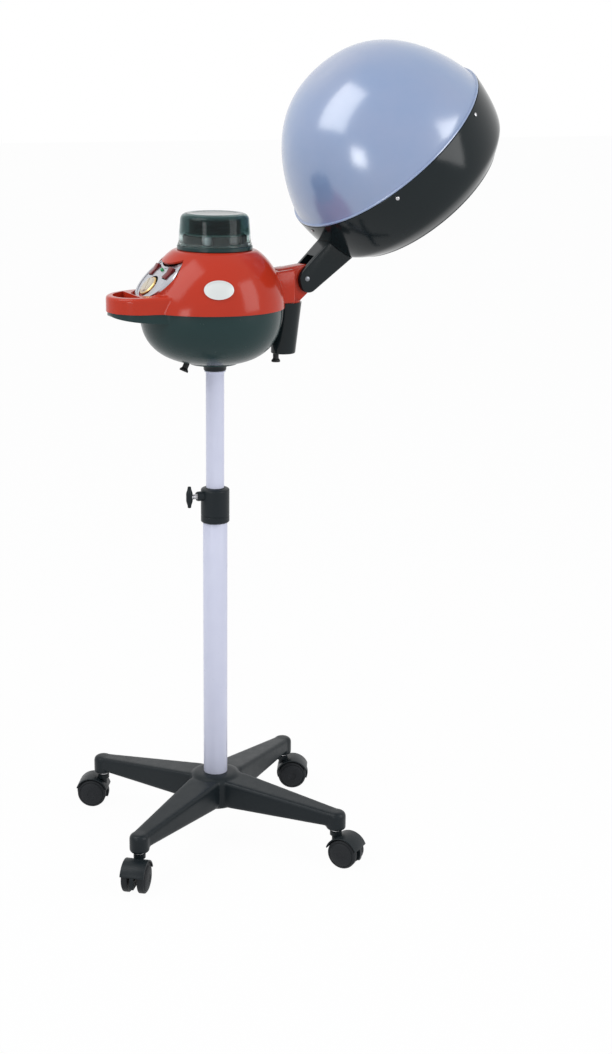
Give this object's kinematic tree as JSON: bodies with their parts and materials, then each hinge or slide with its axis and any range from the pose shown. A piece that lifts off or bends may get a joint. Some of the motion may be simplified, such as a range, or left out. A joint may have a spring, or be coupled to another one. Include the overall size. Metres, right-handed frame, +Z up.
{
  "type": "hood hair steamer",
  "caption": "Salon hood hair steamer on a height-adjustable pole with a caster star base, frosted dome hood and water jar.",
  "frame": {"origin": "centre of the footprint of the whole object's box, on the floor", "axes": "+Z up; +X from the mast towards the hood; the handle and the panel face -X"},
  "size_m": [0.6764, 0.4456, 1.2515],
  "materials": {
    "black_plastic": "satin",
    "black_gloss": "gloss",
    "green_shell": "gloss",
    "red_shell": "gloss",
    "frosted_dome": "frosted",
    "smoked_clear": "clear",
    "lilac_paint": "satin",
    "steel": "satin",
    "chrome": "polished",
    "pale_plastic": "satin",
    "dark_red_plastic": "gloss",
    "green_lens": "gloss",
    "wheel_rubber": "matte",
    "board": "matte"
  },
  "bodies": {
    "stand": {"star_base": "black_plastic", "tube_insert": "black_plastic", "base_bolt": "steel", "lower_tube": "lilac_paint", "guide_bush": "black_plastic", "clamp_collar": "black_plastic", "caster_stem_1": "steel", "caster_stem_2": "steel", "caster_stem_3": "steel", "caster_stem_4": "steel"},
    "clamp": {"clamp_screw": "steel", "clamp_bar": "chrome"},
    "mast": {"upper_tube": "lilac_paint", "tube_guide": "black_plastic"},
    "head": {"neck_socket": "black_plastic", "lower_bowl": "green_shell", "upper_cover": "red_shell", "panel_plate": "chrome", "indicator_lamp": "green_lens", "control_board": "board", "badge_plate": "chrome", "boiler_vessel": "steel", "heating_element": "steel", "steam_pipe": "pale_plastic", "tank_seat": "black_plastic", "tank_post_1": "pale_plastic", "tank_post_2": "pale_plastic", "tank_post_3": "pale_plastic", "boiler_plate": "steel", "boiler_cap": "black_gloss", "power_inlet": "black_plastic", "drain_plug": "black_gloss", "hinge_bracket": "red_shell"},
    "tank_cover": {"tank_cover": "smoked_clear"},
    "cup": {"condensate_cup": "black_gloss", "cup_plug": "black_gloss"},
    "dial": {"dial_knob": "pale_plastic", "dial_spindle": "steel"},
    "rocker_left": {"rocker_left": "dark_red_plastic"},
    "rocker_right": {"rocker_right": "dark_red_plastic"},
    "hood": {"hood_ring": "black_gloss", "steam_nozzle": "black_plastic", "hood_dome": "frosted_dome", "hood_arm": "black_gloss", "hinge_pin": "steel", "dome_screw_1": "steel", "dome_screw_2": "steel", "dome_screw_3": "steel", "dome_screw_4": "steel", "dome_screw_5": "steel", "dome_screw_6": "steel"},
    "caster_1": {"caster_housing_1": "black_plastic"},
    "caster_2": {"caster_housing_2": "black_plastic"},
    "caster_3": {"caster_housing_3": "black_plastic"},
    "caster_4": {"caster_housing_4": "black_plastic"},
    "wheels_1": {"caster_wheels_1": "wheel_rubber"},
    "wheels_2": {"caster_wheels_2": "wheel_rubber"},
    "wheels_3": {"caster_wheels_3": "wheel_rubber"},
    "wheels_4": {"caster_wheels_4": "wheel_rubber"}
  },
  "joints": [
    {"name": "mast_slide", "type": "slide", "parent": "stand", "child": "mast", "axis": [0, 0, 1], "range_m": [-0.16, 0.15]},
    {"name": "clamp_turn", "type": "hinge", "parent": "stand", "child": "clamp", "pos_m": [-0.11587, 0.00414, 0.56854], "axis": [1, 0, 0], "range_deg": [-20, 340]},
    {"name": "head_swivel", "type": "hinge", "parent": "mast", "child": "head", "pos_m": [-0.11587, 0.00414, 0.78964], "axis": [0, 0, 1], "continuous": true},
    {"name": "hood_tilt", "type": "hinge", "parent": "head", "child": "hood", "pos_m": [0.02913, 0.00414, 0.89814], "axis": [0, 1, 0], "range_deg": [-10, 45]},
    {"name": "dial_turn", "type": "hinge", "parent": "head", "child": "dial", "pos_m": [-0.22313, 0.00414, 0.8973], "axis": [-0.7282, 0, 0.6853], "range_deg": [0, 300]},
    {"name": "rocker_left_tilt", "type": "hinge", "parent": "head", "child": "rocker_left", "pos_m": [-0.20056, 0.03156, 0.91643], "axis": [0.0531, 0.9968, -0.0592], "range_deg": [0, 14]},
    {"name": "rocker_right_tilt", "type": "hinge", "parent": "head", "child": "rocker_right", "pos_m": [-0.20056, -0.02328, 0.91643], "axis": [-0.0531, 0.9968, 0.0592], "range_deg": [0, 14]},
    {"name": "tank_cover_lift", "type": "slide", "parent": "head", "child": "tank_cover", "axis": [0, 0, 1], "range_m": [0, 0.08]},
    {"name": "cup_slide", "type": "slide", "parent": "head", "child": "cup", "axis": [-0.0694, 0, -0.9976], "range_m": [0, 0.05]},
    {"name": "caster_swivel_1", "type": "hinge", "parent": "stand", "child": "caster_1", "pos_m": [0.06405, 0.13248, 0.04], "axis": [0, 0, 1], "continuous": true},
    {"name": "wheels_roll_1", "type": "hinge", "parent": "caster_1", "child": "wheels_1", "pos_m": [0.07994, 0.12403, 0.02364], "axis": [0.4695, 0.8829, 0], "continuous": true},
    {"name": "caster_swivel_2", "type": "hinge", "parent": "stand", "child": "caster_2", "pos_m": [-0.24421, 0.18406, 0.04], "axis": [0, 0, 1], "continuous": true},
    {"name": "wheels_roll_2", "type": "hinge", "parent": "caster_2", "child": "wheels_2", "pos_m": [-0.2598, 0.19306, 0.02364], "axis": [-0.5, -0.866, 0], "continuous": true},
    {"name": "caster_swivel_3", "type": "hinge", "parent": "stand", "child": "caster_3", "pos_m": [-0.29579, -0.12419, 0.04], "axis": [0, 0, 1], "continuous": true},
    {"name": "wheels_roll_3", "type": "hinge", "parent": "caster_3", "child": "wheels_3", "pos_m": [-0.30687, -0.13838, 0.02364], "axis": [0.788, -0.6157, 0], "continuous": true},
    {"name": "caster_swivel_4", "type": "hinge", "parent": "stand", "child": "caster_4", "pos_m": [0.01246, -0.17578, 0.04], "axis": [0, 0, 1], "continuous": true},
    {"name": "wheels_roll_4", "type": "hinge", "parent": "caster_4", "child": "wheels_4", "pos_m": [0.0233, -0.19015, 0.02364], "axis": [0.7986, 0.6018, 0], "continuous": true}
  ]
}
